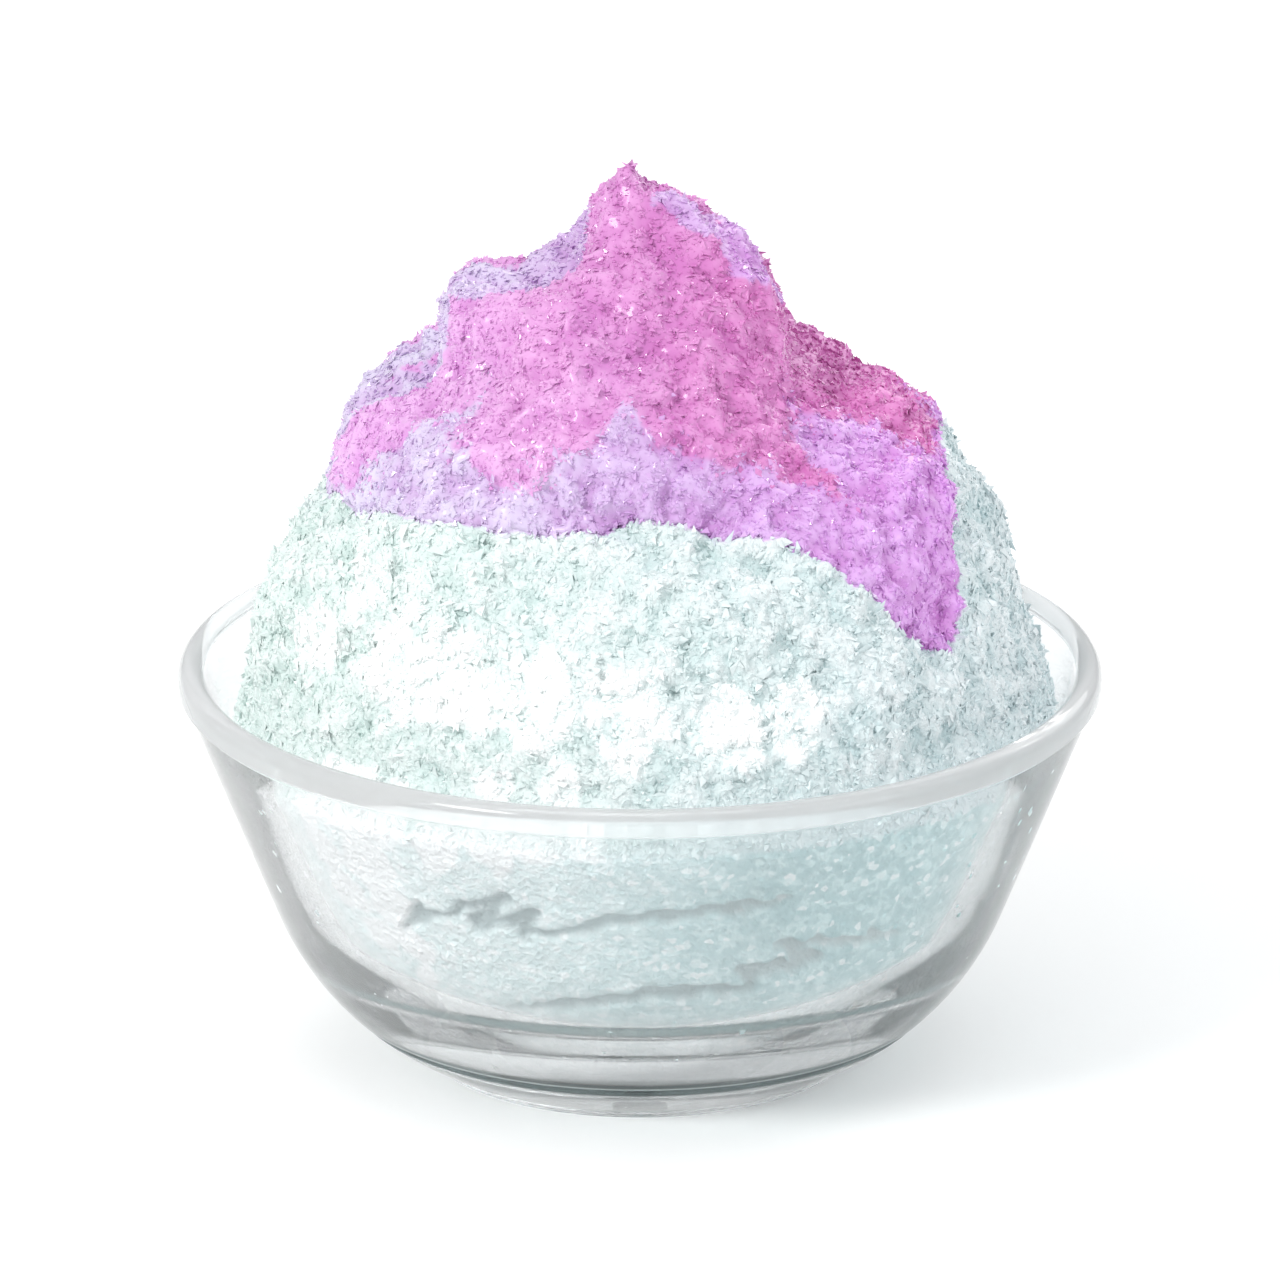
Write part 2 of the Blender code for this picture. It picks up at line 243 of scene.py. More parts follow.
def shifted(field, rows, columns):
    """The field moved by whole cells, wrapping round the axis and held at the poles."""
    index = np.clip(np.arange(len(field)) + rows, 0, len(field) - 1)
    return np.roll(field[index], columns, axis=1)


def spread(field, cells, pick):
    """The field's mean, maximum or minimum over a square of cells to each side."""
    for rows, columns in ((1, 0), (0, 1)):
        field = pick([shifted(field, rows * i, columns * i) for i in range(-cells, cells + 1)], axis=0)
    return field


def heap_fields():
    """The distance from the heart to the frame's heap, and the share of syrup there, on the grid.

    The narrow gap round the syrup's edge is closed, and the flat faces are smoothed."""
    tree, owners = joined_tree((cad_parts["shaved_ice"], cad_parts["syrup_soaked_ice"]))
    polar = np.radians(np.arange(0, 180 + GRID_STEP, GRID_STEP))
    azimuth = np.radians(np.arange(0, 360, GRID_STEP))
    grid = directions(*np.meshgrid(azimuth, polar))
    distance = np.zeros(grid.shape[:2])
    syrup = np.zeros(grid.shape[:2])
    for row in range(len(polar)):
        for column in range(len(azimuth)):
            outward = Vector(grid[row, column])
            _, _, face, travelled = tree.ray_cast(HEART + outward * CAST_FROM, -outward)
            distance[row, column] = CAST_FROM - travelled
            syrup[row, column] = owners[face]
    distance = spread(spread(distance, CLOSING_CELLS, np.max), CLOSING_CELLS, np.min)
    for _ in range(2):
        distance = spread(distance, SMOOTHING_CELLS, np.mean)
    for cells in SYRUP_BLUR_CELLS:
        syrup = spread(syrup, cells, np.mean)
    return distance, syrup


def sample(field, azimuth, polar):
    """A grid's values between its cells."""
    row = np.clip(np.degrees(polar) / GRID_STEP, 0, len(field) - 1.001)
    column = np.degrees(azimuth) / GRID_STEP
    top = row.astype(int)
    left = np.floor(column).astype(int)
    down, across = row - top, column - left
    left, right = left % field.shape[1], (left + 1) % field.shape[1]
    upper = field[top, left] * (1 - across) + field[top, right] * across
    lower = field[top + 1, left] * (1 - across) + field[top + 1, right] * across
    return upper * (1 - down) + lower * down


# The bowl's profile


def arc(centre, radius, start, end, count):
    """Points of a circle's arc; an angle is measured downwards from the outward direction."""
    angles = np.linspace(start, end, count)
    return [(centre[0] + radius * math.cos(a), centre[1] - radius * math.sin(a)) for a in angles]


def inner_wall_radius(height):
    """The radius of the bowl's straight inner wall, which runs into the lip's bead without a corner."""
    at_bead_centre = LIP_RADIUS - BEAD_RADIUS - BEAD_RADIUS / math.cos(INNER_LEAN)
    return at_bead_centre + (height - BOWL_HEIGHT + BEAD_RADIUS) * math.tan(INNER_LEAN)


def inner_profile():
    """The inside, from the middle of the floor up to the lip's crown."""
    height = FLOOR_THICKNESS + INNER_BELLY_RADIUS
    wall_foot = height - INNER_BELLY_RADIUS * math.sin(INNER_LEAN)
    centre = (inner_wall_radius(wall_foot) - INNER_BELLY_RADIUS * math.cos(INNER_LEAN), height)
    floor = [(centre[0] * i / 4, FLOOR_THICKNESS) for i in range(4)]
    belly = arc(centre, INNER_BELLY_RADIUS, math.pi / 2, INNER_LEAN, 28)
    bead_centre = (LIP_RADIUS - BEAD_RADIUS, BOWL_HEIGHT - BEAD_RADIUS)
    lip = arc(bead_centre, BEAD_RADIUS, -math.pi + INNER_LEAN, -math.pi / 2, 9)
    wall = [tuple(np.array(belly[-1]) * (1 - t) + np.array(lip[0]) * t) for t in (0.25, 0.5, 0.75)]
    return floor + belly + wall + lip


def outer_profile():
    """The outside, from the lip's crown down to the foot."""
    lip = arc((LIP_RADIUS - BEAD_RADIUS, BOWL_HEIGHT - BEAD_RADIUS), BEAD_RADIUS, -math.pi / 2, 0, 10)
    under = BOWL_HEIGHT - LIP_DEPTH
    lip += arc((LIP_RADIUS - OVERHANG_ROUNDING, under), OVERHANG_ROUNDING, 0, math.radians(70), 5)
    wall_foot = (OUTER_BELLY_CENTRE[0] + OUTER_BELLY_RADIUS * math.cos(OUTER_LEAN),
                 OUTER_BELLY_CENTRE[1] - OUTER_BELLY_RADIUS * math.sin(OUTER_LEAN))
    necks = [under - LIP_OVERHANG * t for t in (0.8, 1.3, 4, 10)]
    wall = [(wall_foot[0] + (z - wall_foot[1]) * math.tan(OUTER_LEAN), z) for z in necks]
    line = math.asin((OUTER_BELLY_CENTRE[1] - FOOT_LINE_HEIGHT) / OUTER_BELLY_RADIUS)
    foot = math.asin((OUTER_BELLY_CENTRE[1] - FOOT_ROUNDING) / OUTER_BELLY_RADIUS)
    belly = arc(OUTER_BELLY_CENTRE, OUTER_BELLY_RADIUS, OUTER_LEAN, line - FOOT_LINE_HALF_ANGLE, 26)
    turns = np.linspace(-1, 1, 7)[1:-1]
    groove = [arc(OUTER_BELLY_CENTRE, OUTER_BELLY_RADIUS - FOOT_LINE_DEPTH * (1 - t * t),
                  line + t * FOOT_LINE_HALF_ANGLE, line + t * FOOT_LINE_HALF_ANGLE, 1)[0] for t in turns]
    base = arc(OUTER_BELLY_CENTRE, OUTER_BELLY_RADIUS, line + FOOT_LINE_HALF_ANGLE, foot, 8)
    turn = arc((base[-1][0] - FOOT_ROUNDING, FOOT_ROUNDING), FOOT_ROUNDING, 0.3, math.pi / 2, 6)
    return lip + wall + belly + groove + base[:-1] + turn


def underside_profile():
    """The shallow kick under the foot."""
    shares = (1, 0.94, 0.85, 0.7, 0.5, 0.25, 0)
    return [(KICK_RADIUS * share, KICK_HEIGHT * (1 - share ** 3)) for share in shares]


def wall_distance(polar):
    """The distance from the heart to the inside of the bowl, by polar angle; far off above the wall."""
    profile = np.array([p for p in inner_profile() if p[1] < BOWL_HEIGHT - BEAD_RADIUS])
    down = profile[:, 1] - HEART.z
    angles = np.arctan2(profile[:, 0], down)
    lengths = np.hypot(profile[:, 0], down)
    order = np.argsort(angles)
    found = np.interp(polar, angles[order], lengths[order])
    return np.where(polar < angles.min(), OPEN_AIR, found)


# Relief


def chip(point):
    """A field of flat tilted facets, each a Voronoi cell, between about -0.5 and 0.5."""
    _, cells = noise.voronoi(point)
    tilt = noise.cell_vector(cells[0] * 17.3)
    return 0.55 * (tilt.x - 0.5) + 0.8 * (point - cells[0]).dot(tilt - Vector((0.5, 0.5, 0.5)))


def ridge(point):
    """Sharp crests along the noise's zero lines."""
    return 0.3 - abs(noise.noise(point))


def lump(point):
    """Rounded mounds with creases between them."""
    distances, _ = noise.voronoi(point)
    return 0.5 - distances[0]


def free_relief(point):
    """How far the heap's own surface stands out, in millimetres: lumps, crags, chips and crumbs.

    Each term is a height times a pattern of a size, both in millimetres. The lumps' pattern is bent."""
    p = point / MM
    bent = p + 3 * noise.noise_vector(p / 7)
    return (1.5 * lump(bent / 8.5) + 1.4 * lump(bent / 4.1) + 1.2 * ridge(p / 5.2 + Vector((1, 7, 3)))
            + 1.1 * chip(p / 3.1) + 0.5 * chip(p / 1.9) + 0.45 * noise.noise(p / 1.1))


def packed_relief(point):
    """The same for ice packed against glass: peaks that reach into it, and a fine gap between them."""
    p = point / MM
    distances, _ = noise.voronoi(p / PEAK_SPACING)
    peak = max(0, 1 - distances[0] * PEAK_SPACING / PEAK_WIDTH)
    return PEAK_HEIGHT * peak - PACKED_GAP + 0.16 * noise.noise(p / 2.3) + 0.1 * noise.noise(p / 6)


def spots(points, places):
    """How strongly places on the surface, given by azimuth, height and radius, cover each point."""
    cover = np.zeros(len(points))
    azimuth = np.arctan2(points[:, 1], points[:, 0])
    radius = np.hypot(points[:, 0], points[:, 1])
    for degrees, height, size in places:
        turn = (azimuth - math.radians(degrees) + math.pi) % (2 * math.pi) - math.pi
        across = turn * radius / MM
        up = (points[:, 2] - BOWL_HEIGHT) / MM - height
        cover = np.maximum(cover, SPOT_END - np.hypot(across, up) / size)
    return np.clip(cover, 0, 1)


def wobble(points, size, offset=0):
    """Smooth noise at every point, with features of that size in millimetres."""
    shift = Vector((offset, offset * 2, -offset))
    scale = 1 / (size * MM)
    return np.array([noise.noise(Vector(p) * scale + shift) for p in points])


def crevices(points):
    """Tapered zigzag cracks in the packed ice, from 0 to 1, that waver by a millimetre or so."""
    azimuth = np.degrees(np.arctan2(points[:, 1], points[:, 0]))
    radius = np.hypot(points[:, 0], points[:, 1]) / MM
    waver = (1.6 * wobble(points, 4, 21), 1.3 * wobble(points, 3, 25))
    height = (points[:, 2] - BOWL_HEIGHT) / MM + waver[1]
    nearest = np.full(len(points), np.inf)
    for (start, low), (end, high) in CREVICES:
        across = np.radians((azimuth - start + 180) % 360 - 180) * radius + waver[0]
        length = math.radians(end - start) * radius
        for (u, up, wide), (next_u, next_up, next_wide) in zip(ZIGZAG, ZIGZAG[1:]):
            first = np.stack((length * u, low + (high - low) * u + up + 0 * across))
            step = np.stack((length * next_u, low + (high - low) * next_u + next_up + 0 * across)) - first
            here = np.stack((across, height)) - first
            share = np.clip((here * step).sum(axis=0) / (step * step).sum(axis=0), 0, 1)
            apart = np.linalg.norm(here - step * share, axis=0) - wide - (next_wide - wide) * share
            nearest = np.minimum(nearest, apart)
    return 1 - smooth_step(-CREVICE_FADE, CREVICE_FADE, nearest)


# Mesh helpers


def mesh_piece(name, points, faces, material, **attributes):
    """A smooth-shaded piece on the root body, with numbers for its material at every vertex."""
    mesh = bpy.data.meshes.new(name)
    mesh.from_pydata(points, [], faces)
    for key, values in attributes.items():
        made = mesh.attributes.new(key, "FLOAT", "POINT")
        made.data.foreach_set("value", np.asarray(values, np.float32))
    mesh.materials.append(material)
    mesh.shade_smooth()
    piece = bpy.data.objects.new(name, mesh)
    bpy.context.scene.collection.objects.link(piece)
    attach(piece, "root")
    return piece


def ball_layout():
    """Azimuths, polar angles and triangles of a ball: even at the top, then rows down to the bottom."""
    azimuth, polar, starts = [0.0], [0.0], [0]
    angles = np.concatenate((np.linspace(0, CAP_POLAR, CAP_RINGS + 1),
                             np.linspace(CAP_POLAR, WALL_POLAR, WALL_ROWS + 1)[1:],
                             np.linspace(WALL_POLAR, FLOOR_POLAR, FLOOR_ROWS + 1)[1:]))
    for i, angle in enumerate(angles[1:], 1):
        count = 6 * min(i, CAP_RINGS)
        starts.append(len(azimuth))
        azimuth += [2 * math.pi * j / count for j in range(count)]
        polar += [angle] * count
    faces = []
    for i in range(1, CAP_RINGS + 1):
        inner, outer = starts[i - 1], starts[i]
        inner_count, outer_count = max(1, 6 * (i - 1)), 6 * i
        for side in range(6):
            for step in range(i):
                a = outer + (side * i + step) % outer_count
                b = outer + (side * i + step + 1) % outer_count
                c = inner + (side * (i - 1) + step) % inner_count
                faces.append((a, b, c))
                if step < i - 1:
                    faces.append((c, b, inner + (side * (i - 1) + step + 1) % inner_count))
    count = 6 * CAP_RINGS
    for i in range(CAP_RINGS, len(angles) - 1):
        for j in range(count):
            after = (j + 1) % count
            a, b = starts[i] + j, starts[i] + after
            c, d = starts[i + 1] + j, starts[i + 1] + after
            faces += [(a, c, d), (a, d, b)]
    bottom = len(azimuth)
    azimuth.append(0.0)
    polar.append(math.pi)
    last = starts[-1]
    faces += [(last + (j + 1) % count, last + j, bottom) for j in range(count)]
    return np.array(azimuth), np.array(polar), np.array(faces)


# Materials


def new_material(name):
    """A material, its node tree and its main shader."""
    made = bpy.data.materials.new(name)
    made.use_nodes = True
    tree = made.node_tree
    return made, tree, tree.nodes["Principled BSDF"]


def link_node(tree, kind, settings=(), **inputs):
    """A new node with its settings, and its inputs set to numbers or linked to other nodes' sockets."""
    node = tree.nodes.new(kind)
    for key, value in dict(settings).items():
        setattr(node, key, value)
    for key, value in inputs.items():
        socket = node.inputs[int(key[1:])] if key[0] == "i" and key[1:].isdigit() else node.inputs[key]
        if isinstance(value, bpy.types.NodeSocket):
            tree.links.new(value, socket)
        else:
            socket.default_value = value
    return node


def attribute(tree, name):
    """The number of that name at each vertex."""
    return link_node(tree, "ShaderNodeAttribute", {"attribute_name": name}).outputs["Fac"]


def ramp(tree, factor, stops):
    """A colour for each value of the factor, from (place, colour) pairs."""
    node = link_node(tree, "ShaderNodeValToRGB", Fac=factor)
    elements = node.color_ramp.elements
    while len(elements) < len(stops):
        elements.new(0.5)
    for element, (place, colour) in zip(elements, stops):
        element.position = place
        element.color = colour
    return node.outputs["Color"]


def remap(tree, value, low, high, to_low=0.0, to_high=1.0):
    """The value taken smoothly from one range to another, and held beyond its ends."""
    node = link_node(tree, "ShaderNodeMapRange", {"interpolation_type": "SMOOTHSTEP"},
                     i0=value, i1=low, i2=high, i3=to_low, i4=to_high)
    return node.outputs["Result"]


def mix(tree, factor, first, second, blend="MIX"):
    """The first colour, blended with the second as far as the factor says."""
    node = link_node(tree, "ShaderNodeMix", {"data_type": "RGBA", "blend_type": blend},
                     i0=factor, i6=first, i7=second)
    return node.outputs[2]


def lit_to_shaded_share(tree):
    """From 0 at the heap's lit left to 1 at its shaded right, with a slight unevenness; the colours darken
    along it as painted shade.
    """
    place = link_node(tree, "ShaderNodeTexCoord").outputs["Object"]
    across = link_node(tree, "ShaderNodeSeparateXYZ", i0=place).outputs["X"]
    uneven = link_node(tree, "ShaderNodeTexNoise", Scale=45.0, Detail=2.0, Vector=place).outputs["Fac"]
    shift = link_node(tree, "ShaderNodeMath", {"operation": "MULTIPLY_ADD"}, i0=uneven, i1=0.03, i2=across)
    return remap(tree, shift.outputs[0], LEFT_SIDE, RIGHT_SIDE)


def grain_bump(tree, shader, strength, sizes):
    """Fine crystals: the normal is disturbed by noise at several sizes, given in millimetres."""
    place = link_node(tree, "ShaderNodeTexCoord").outputs["Object"]
    normal = None
    for size in sizes:
        cells = link_node(tree, "ShaderNodeTexVoronoi", {"feature": "F1"}, Scale=1 / (size * MM),
                          Vector=place)
        bump = link_node(tree, "ShaderNodeBump", Strength=strength, Distance=0.35 * size * MM,
                         Height=cells.outputs["Distance"])
        if normal:
            tree.links.new(normal, bump.inputs["Normal"])
        normal = bump.outputs["Normal"]
    tree.links.new(normal, shader.inputs["Normal"])


# Colours as on screen, from the heap's left to its right. The ice turns darker and bluer to the right as
# painted shade, since the lamps light the left; the syrup's deeper pink there is painted shade and also
# more syrup.
LEFT_SIDE = -0.045
RIGHT_SIDE = 0.075
ICE_STOPS = ((0, rgb(230, 238, 236)), (1, rgb(226, 233, 235)))
# The white of fresh ice, also of the painted highlights and the painted reflection.
FRESH_AND_HIGHLIGHT_STOPS = ((0, rgb(254, 254, 254)), (1, rgb(252, 254, 254)))
PACKED_STOPS = ((0, rgb(254, 255, 255)), (1, rgb(210, 234, 234)))
# The wet tone of packed ice, darkened strongly to the right as painted shade.
WET_AND_SHADE_STOPS = ((0, rgb(240, 250, 249)), (1, rgb(168, 200, 203)))
LILAC_STOPS = ((0, rgb(219, 215, 234)), (0.5, rgb(211, 182, 225)), (1, rgb(223, 170, 234)))
PINK_STOPS = ((0, rgb(230, 187, 232)), (0.5, rgb(219, 155, 210)), (1, rgb(216, 129, 192)))
CRYSTAL_WHITE = rgb(252, 255, 255)
# Painted shade: the grey in the crevices of the packed ice.
CREVICE_SHADE_GREY = rgb(190, 202, 203)
# Painted shade: what hollows multiply those colours by, in white ice and in syrup; in syrup it is also the
# deeper pink of syrup pooled there.
HOLLOW_SHADE_STOPS = ((0, rgb(232, 242, 240)), (1, rgb(222, 236, 237)))
POOL_AND_SHADE_STOPS = ((0, rgb(240, 214, 240)), (1, rgb(232, 196, 226)))
GLASS_GREY = rgb(246, 248, 249)
# Painted shadow in the groove above the foot.
FOOT_SHADE = rgb(52, 72, 72)
# How much of a lamp's light comes through the glass.
LAMP_TINT = (0.93, 0.945, 0.945, 1)


def packed_colour(tree, share):
    """Wet, granular ice behind the glass: a mottled ground whose wet tone darkens strongly to the right as
    painted shade, crystals of several tones, white patches that are partly a painted reflection, and
    crevices painted grey as shade.
    """
    place = link_node(tree, "ShaderNodeTexCoord").outputs["Object"]
    mottle = link_node(tree, "ShaderNodeTexNoise", Scale=MOTTLE_SCALE, Detail=3.0, Roughness=0.75,
                       Vector=place)
    cells = link_node(tree, "ShaderNodeTexVoronoi", Scale=CRYSTAL_SCALE, Vector=place).outputs["Color"]
    tone = link_node(tree, "ShaderNodeSeparateXYZ", i0=cells).outputs["X"]
    # The wet tone darkens to the right as painted shade.
    wet_and_shade = ramp(tree, share, WET_AND_SHADE_STOPS)
    ground = mix(tree, remap(tree, mottle.outputs["Fac"], 0.44, 0.62, 0.0, 0.7),
                 ramp(tree, share, PACKED_STOPS), wet_and_shade)
    ground = mix(tree, remap(tree, tone, 0.1, 0.9, 0.0, 0.7), ground, wet_and_shade)
    ground = mix(tree, remap(tree, tone, 0.12, 0.0, 0.0, 0.8), ground, CRYSTAL_WHITE)
    # White patches: fresh ice, and behind the glass at the front left a painted reflection.
    white = mix(tree, attribute(tree, "fresh"), ground, ramp(tree, share, FRESH_AND_HIGHLIGHT_STOPS))
    # Crevices are painted grey as shade.
    return mix(tree, attribute(tree, "crevice"), white, CREVICE_SHADE_GREY)


def ice_material(name, roughness, wetness, packed=False):
    """Ice, white, packed or soaked in syrup, by the numbers at each vertex.

    Only the heap itself has packed ice, behind the glass, with grain too fine for its mesh."""
    made, tree, shader = new_material(name)
    # The colours darken from the lit left to the shaded right: painted shade.
    share = lit_to_shaded_share(tree)
    hollow = attribute(tree, "hollow")
    # Fresh white ice, with painted highlights and a painted reflection.
    white = mix(tree, attribute(tree, "fresh"), ramp(tree, share, ICE_STOPS),
                ramp(tree, share, FRESH_AND_HIGHLIGHT_STOPS))
    # Hollows are painted darker, as shade.
    white = mix(tree, hollow, white, ramp(tree, share, HOLLOW_SHADE_STOPS), "MULTIPLY")
    if packed:
        white = mix(tree, attribute(tree, "packed"), white, packed_colour(tree, share))
        grain_bump(tree, shader, PACKED_GRAIN_STRENGTH, PACKED_GRAINS)
    syrup = attribute(tree, "syrup")
    # In syrup the hollows are painted deeper and darker: syrup pooled there, and painted shade.
    deep = ramp(tree, share, POOL_AND_SHADE_STOPS)
    thin = mix(tree, hollow, ramp(tree, share, LILAC_STOPS), deep, "MULTIPLY")
    thick = mix(tree, hollow, ramp(tree, share, PINK_STOPS), deep, "MULTIPLY")
    lilac = mix(tree, remap(tree, syrup, 0.02, 0.4), white, thin)
    pink = mix(tree, remap(tree, syrup, 0.55, 0.95), lilac, thick)
    tree.links.new(pink, shader.inputs["Base Color"])
    shader.inputs["Roughness"].default_value = roughness
    shader.inputs["IOR"].default_value = ICE_INDEX
    shader.inputs["Coat Weight"].default_value = wetness
    shader.inputs["Coat Roughness"].default_value = FILM_ROUGHNESS
    shader.inputs["Coat IOR"].default_value = FILM_INDEX
    return made


def glass_material(name, clearness):
    """Pressed glass with faint waves in its surface, and a darker band round it above the foot, painted as
    the shadow in the foot line's groove.
    """
    made, tree, shader = new_material(name)
    place = link_node(tree, "ShaderNodeTexCoord").outputs["Object"]
    height = link_node(tree, "ShaderNodeSeparateXYZ", i0=place).outputs["Z"]
    off_line = link_node(tree, "ShaderNodeMath", {"operation": "SUBTRACT"}, i0=height,
                         i1=FOOT_LINE_HEIGHT + FOOT_SHADE_RISE)
    off_line = link_node(tree, "ShaderNodeMath", {"operation": "ABSOLUTE"}, i0=off_line.outputs[0])
    share = remap(tree, off_line.outputs[0], FOOT_SHADE_FADE_END, FOOT_SHADE_HALF_WIDTH)
    # Painted shadow: the darker band above the foot line.
    foot_shade = mix(tree, share, GLASS_GREY, FOOT_SHADE)
    tree.links.new(foot_shade, shader.inputs["Base Color"])
    shader.inputs["Roughness"].default_value = 0.01
    shader.inputs["IOR"].default_value = GLASS_INDEX
    shader.inputs["Alpha"].default_value = GLASS_OPACITY
    shader.inputs["Transmission Weight"].default_value = clearness
    waves = link_node(tree, "ShaderNodeTexNoise", Scale=24.0, Detail=1.0, Vector=place).outputs["Fac"]
    bump = link_node(tree, "ShaderNodeBump", Strength=0.05, Distance=0.4 * MM, Height=waves)
    tree.links.new(bump.outputs["Normal"], shader.inputs["Normal"])
    # Lamps shine through the glass, onto the ice behind it and the floor.
    let_through = link_node(tree, "ShaderNodeBsdfTransparent", Color=LAMP_TINT)
    is_lamp = link_node(tree, "ShaderNodeLightPath").outputs["Is Shadow Ray"]
    both = link_node(tree, "ShaderNodeMixShader", i0=is_lamp, i1=shader.outputs["BSDF"],
                     i2=let_through.outputs["BSDF"])
    tree.links.new(both.outputs["Shader"], tree.nodes["Material Output"].inputs["Surface"])
    return made


# Pieces


def glass_bowl():
    profile = outer_profile() + underside_profile() + inner_profile()[1:]
    # The middle of the underside and of the floor are single points, and the last point is the first.
    profile = profile[:-1]
    points, faces, rows = [], [], []
    for radius, height in profile:
        count = BOWL_STEPS if radius > 0 else 1
        rows.append((len(points), count))
        for j in range(count):
            turn = 2 * math.pi * j / BOWL_STEPS
            points.append((radius * math.cos(turn), radius * math.sin(turn), height))
    rows.append(rows[0])
    for (start, count), (following, following_count) in zip(rows, rows[1:]):
        if count == following_count == 1:
            continue
        for j in range(BOWL_STEPS):
            after = (j + 1) % BOWL_STEPS
            corners = [start + j % count, following + j % following_count,
                       following + after % following_count, start + after % count]
            faces.append(tuple(dict.fromkeys(corners)))
    bowl = mesh_piece("clear_bowl", points, faces, glass_material("bowl_glass", 1.0))
    bowl.data.materials.append(glass_material("lip_glass", LIP_CLEARNESS))
    for face in bowl.data.polygons:
        face.material_index = int(face.center.z > BOWL_HEIGHT - LIP_DEPTH - LIP_OVERHANG)
    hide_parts("glass_bowl")


def ice_numbers(points, syrup_share, contact):
    """At each point: the syrup's share and the height above the pink's end, both with ragged edges, how
    far the ice is white, as fresh ice and as painted highlight and reflection, how far it is packed, and
    how far in a crevice."""
    edge = syrup_share + 0.3 * wobble(points, 6.5) + 0.16 * wobble(points, 2.4, 5)
    azimuth = np.degrees(np.arctan2(points[:, 1], points[:, 0])) % 360
    pink_end = np.interp(azimuth, *zip(*PINK_END), period=360)
    above = (points[:, 2] - BOWL_HEIGHT) / MM - pink_end
    above += 5 * wobble(points, 8, 3) + 3 * wobble(points, 3, 8)
    frayed = 0.25 * wobble(points, 4, 31) + 0.12 * wobble(points, 1.8, 33)
    above -= THIN_SPOT_PULL * np.maximum(spots(points, THIN_SPOTS) - THIN_SPOT_START + frayed, 0)
    # Spots of white: fresh ice, with painted highlights on the front and a painted reflection behind the
    # glass.
    ragged = 0.5 * wobble(points, 7, 11) + 0.25 * wobble(points, 2.6, 14)
    fresh = smooth_step(*FRESH_AND_HIGHLIGHT_EDGE, spots(points, FRESH_AND_HIGHLIGHT_SPOTS) + ragged)
    return {"edge": edge, "above": np.clip(above, -PINK_END_LIMIT, PINK_END_LIMIT), "fresh": fresh,
            "packed": contact, "crevice": crevices(points) * contact}


def syrup_strength(edge, above):
    """0 on plain ice, a half where the syrup is thin, and 1 in the deep pink."""
    return smooth_step(SYRUP_EDGE - SYRUP_OVERLAP, SYRUP_EDGE + 0.02, edge) * (
        0.5 + 0.5 * smooth_step(-PINK_FADE, PINK_FADE, above))


MATERIAL_NUMBERS = ("syrup", "fresh", "packed", "crevice", "hollow")


def heap_surface(fields):
    """The ball's points and triangles on the heap's own surface, and the numbers for its materials."""
    azimuth, polar, faces = ball_layout()
    distance, syrup_share = (sample(field, azimuth, polar) for field in fields)
    wall = wall_distance(polar)
    contact = 1 - smooth_step(CONTACT_NEAR, CONTACT_FAR, wall - distance)
    outward = directions(azimuth, polar)
    base = np.array(HEART) + outward * (distance * (1 - contact) + wall * contact)[:, None]
    numbers = ice_numbers(base, syrup_share, contact)
    height = base[:, 2] - BOWL_HEIGHT
    above_glass = smooth_step(*RELIEF_FADE, height)
    free = np.array([free_relief(Vector(p)) for p in base]) * above_glass
    # Hollows in the free relief are painted darker, as shade.
    numbers["hollow"] = smooth_step(*HOLLOW_SHADE_RANGE, free) * (1 - contact)
    for *place, amount in DENTS:
        free += amount * smooth_step(0, 0.9, spots(base, [place])) * above_glass
    packed = np.array([packed_relief(Vector(p)) for p in base]) - CREVICE_DEPTH * numbers["crevice"]
    relief = (free * (1 - contact) + packed * contact) * MM
    numbers["syrup"] = syrup_strength(numbers["edge"], numbers["above"])
    return base, outward, relief, faces, numbers


def material_numbers(numbers, keep=slice(None)):
    """The numbers that the ice materials read, at the vertices that are kept."""
    return {key: numbers[key][keep] for key in MATERIAL_NUMBERS}


def white_heap(base, outward, relief, faces, numbers, material):
    """The whole heap, which dips where the syrup's layer lies over it."""
    dive = WHITE_DIVE * smooth_step(SYRUP_EDGE, SYRUP_EDGE + 0.15, numbers["edge"])
    points = base + outward * (relief - dive)[:, None]
    heap = mesh_piece("heaped_ice", points, faces.tolist(), material, **material_numbers(numbers))
    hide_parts("shaved_ice")


def syrup_layer(base, outward, relief, faces, numbers, material):
    """The soaked ice, a thick layer whose ragged edge sinks into the white ice."""
    edge = numbers["edge"]
    inside = edge > SYRUP_EDGE - SYRUP_OVERLAP
    faces = faces[inside[faces].all(axis=1)]
    used = np.unique(faces)
    order = np.zeros(len(base), int)
    order[used] = np.arange(len(used))
    dive = SYRUP_DIVE * (1 - smooth_step(SYRUP_EDGE - SYRUP_OVERLAP, SYRUP_EDGE, edge))
    points = (base + outward * (relief - dive)[:, None])[used]
    layer = mesh_piece("soaked_layer", points, order[faces].tolist(), material,
                       **material_numbers(numbers, used))
    thick = layer.modifiers.new("Thickness", "SOLIDIFY")
    thick.thickness = SYRUP_LAYER
    thick.offset = -1
    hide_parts("syrup_soaked_ice")


def crystal_form(rng, axes):
    """An uneven splinter of ice with six corners, about one unit long."""
    tips = np.array([(1, 0, 0), (-1, 0, 0), (0, 1, 0), (0, -1, 0), (0, 0, 1), (0, 0, -1)], float)
    return (tips + rng.uniform(-0.3, 0.3, (6, 3))) * axes * rng.uniform(0.75, 1.25, 3) / 2


def crystal_faces():
    """The eight triangles between the six corners, facing outwards."""
    corners = [(a, b, c) for a in (0, 1) for b in (2, 3) for c in (4, 5)]
    return np.array([(a, b, c) if (a + b + c) % 2 == 0 else (b, a, c) for a, b, c in corners])


def spread_over(points, faces, weight, count, rng):
    """Random places on the triangles, by area and weight: the face and its corners' shares."""
    corners = points[faces]
    across = np.cross(corners[:, 1] - corners[:, 0], corners[:, 2] - corners[:, 0])
    area = np.linalg.norm(across, axis=1) * weight
    chosen = rng.choice(len(faces), count, p=area / area.sum())
    shares = rng.dirichlet((1, 1, 1), count)
    return chosen, shares


